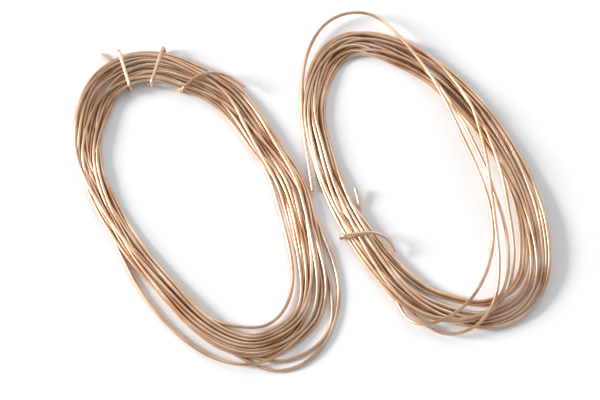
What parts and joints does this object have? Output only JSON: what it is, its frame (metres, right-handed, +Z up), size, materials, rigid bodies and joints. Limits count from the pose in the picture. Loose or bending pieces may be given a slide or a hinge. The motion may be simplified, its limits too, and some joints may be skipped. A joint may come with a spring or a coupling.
{
  "type": "copper wire hanks",
  "caption": "Pair of long oval hanks of bare round copper wire, each bound by a short wire tie, lying side by side.",
  "frame": {"origin": "middle of the pair in plan, on the surface that both hanks lie on", "axes": "+X from the left hank to the right hank, +Y towards the hanks' upper ends, +Z up from the surface"},
  "size_m": [0.1458, 0.1144, 0.0074],
  "materials": {
    "copper_wire": "bright drawn copper"
  },
  "bodies": {
    "left_hank": {"left_coil": "copper_wire", "left_inner_turn": "copper_wire", "left_lower_turn": "copper_wire", "left_outer_turn": "copper_wire", "left_tie": "copper_wire"},
    "right_hank": {"right_coil": "copper_wire", "right_inner_turn": "copper_wire", "right_middle_turn": "copper_wire", "right_free_end": "copper_wire", "right_tie": "copper_wire"}
  },
  "joints": [
    {"name": "right_hank_lift", "type": "slide", "parent": "left_hank", "child": "right_hank", "axis": [0, 0, 1], "range_m": [0, 0.06]}
  ]
}
